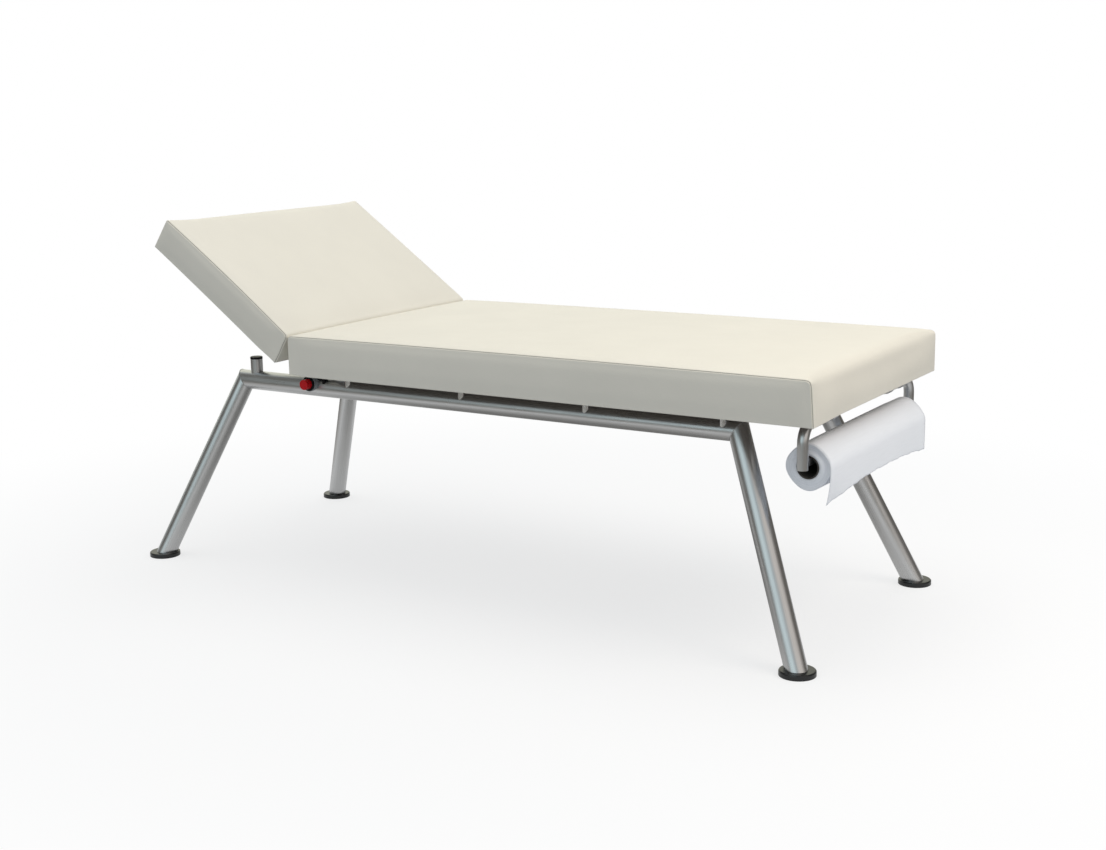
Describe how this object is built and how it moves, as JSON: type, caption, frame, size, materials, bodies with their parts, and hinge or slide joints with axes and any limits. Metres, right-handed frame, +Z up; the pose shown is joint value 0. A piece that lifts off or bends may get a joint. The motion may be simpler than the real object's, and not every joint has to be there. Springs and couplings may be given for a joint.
{
  "type": "examination table",
  "caption": "Upholstered examination table on a splayed round-tube frame, with a tilting head section on a lockable gas strut, a release button and a paper roll under the foot end",
  "frame": {"origin": "on the floor, under the middle of the frame's four feet", "axes": "+X towards the foot end, +Y towards the left of a patient lying on it, +Z up"},
  "size_m": [1.966, 0.824, 0.9207],
  "materials": {
    "stainless_tube": "brushed, long soft highlights",
    "zinc_steel": "zinc plated, satin",
    "polished_rod": "polished",
    "strut_paint": "satin black",
    "foot_rubber": "smooth, slightly glossy",
    "black_plastic": "satin",
    "cable_sheath": "satin",
    "button_red": "gloss",
    "housing_grey": "satin grey",
    "cream_leatherette": "PVC coated cloth over foam, fine grain, semi-matt",
    "plywood": "plywood with a brown-grey resin film, low gloss",
    "white_paper": "matt",
    "core_board": "dark grey, matt"
  },
  "bodies": {
    "frame": {"side_rail_right": "stainless_tube", "side_rail_left": "stainless_tube", "leg_head_right": "stainless_tube", "leg_head_left": "stainless_tube", "leg_foot_right": "stainless_tube", "leg_foot_left": "stainless_tube", "cross_tube_head": "stainless_tube", "cross_tube_foot": "stainless_tube", "rest_post_right": "stainless_tube", "rest_post_left": "stainless_tube", "roll_hook_right": "stainless_tube", "roll_hook_left": "stainless_tube", "pad_standoffs_right": "stainless_tube", "pad_standoffs_left": "stainless_tube", "pad_bolts_right": "zinc_steel", "pad_bolts_left": "zinc_steel", "bolt_washers": "zinc_steel", "hinge_plate_screws": "zinc_steel", "clip_screws": "zinc_steel", "hook_clips": "zinc_steel", "hinge_plate_right": "zinc_steel", "hinge_plate_left": "zinc_steel", "hinge_pin_right": "zinc_steel", "hinge_pin_left": "zinc_steel", "strut_bracket": "zinc_steel", "strut_pin": "zinc_steel", "roll_rod": "zinc_steel", "button_spring": "polished_rod", "foot_head_right": "foot_rubber", "foot_head_left": "foot_rubber", "foot_foot_right": "foot_rubber", "foot_foot_left": "foot_rubber", "rest_post_cap_right": "black_plastic", "rest_post_cap_left": "black_plastic", "button_bezel": "black_plastic", "cable_gland": "black_plastic", "cable_clip": "black_plastic", "release_cable": "cable_sheath", "button_housing": "housing_grey", "main_cushion": "cream_leatherette", "main_board": "plywood", "paper_tail": "white_paper"},
    "head_section": {"head_board": "plywood", "head_cushion": "cream_leatherette", "head_arm_right": "zinc_steel", "head_arm_left": "zinc_steel", "head_arm_screws": "zinc_steel", "head_lug": "zinc_steel", "lug_pin": "zinc_steel", "lug_screws": "zinc_steel"},
    "strut_rod": {"strut_rod": "polished_rod"},
    "strut_cylinder": {"strut_cylinder": "strut_paint"},
    "release_button": {"release_button": "button_red"},
    "release_lever": {"release_lever": "zinc_steel"},
    "paper_roll": {"paper_roll": "white_paper", "roll_core": "core_board"}
  },
  "joints": [
    {"name": "head_tilt", "type": "hinge", "parent": "frame", "child": "head_section", "pos_m": [-0.444, 0, 0.634], "axis": [0, 1, 0], "range_deg": [-35.5, 9.5]},
    {"name": "strut_swing", "type": "hinge", "parent": "frame", "child": "strut_rod", "pos_m": [-0.34, 0, 0.475], "axis": [0, 1, 0], "range_deg": [-12.16, 3.26]},
    {"name": "strut_stroke", "type": "slide", "parent": "strut_rod", "child": "strut_cylinder", "axis": [-0.8953, 0, 0.4454], "range_m": [-0.06723, 0.01799]},
    {"name": "button_press", "type": "slide", "parent": "frame", "child": "release_button", "axis": [0, 1, 0], "range_m": [0, 0.005], "stiffness_N_per_m": 800, "springref_m": -0.002, "deforming": ["button_spring"]},
    {"name": "lever_pull", "type": "hinge", "parent": "frame", "child": "release_lever", "pos_m": [-0.34, 0, 0.475], "axis": [0, -1, 0], "range_deg": [0, 7.17]},
    {"name": "roll_spin", "type": "hinge", "parent": "frame", "child": "paper_roll", "pos_m": [0.928, 0, 0.4408], "axis": [0, 1, 0], "continuous": true}
  ],
  "couplings": [
    {"joint": "strut_swing", "follows": "head_tilt", "ratio": 0.34238},
    {"joint": "strut_stroke", "follows": "head_tilt", "m_per_rad": 0.10849},
    {"joint": "lever_pull", "follows": "button_press", "rad_per_m": 25}
  ]
}
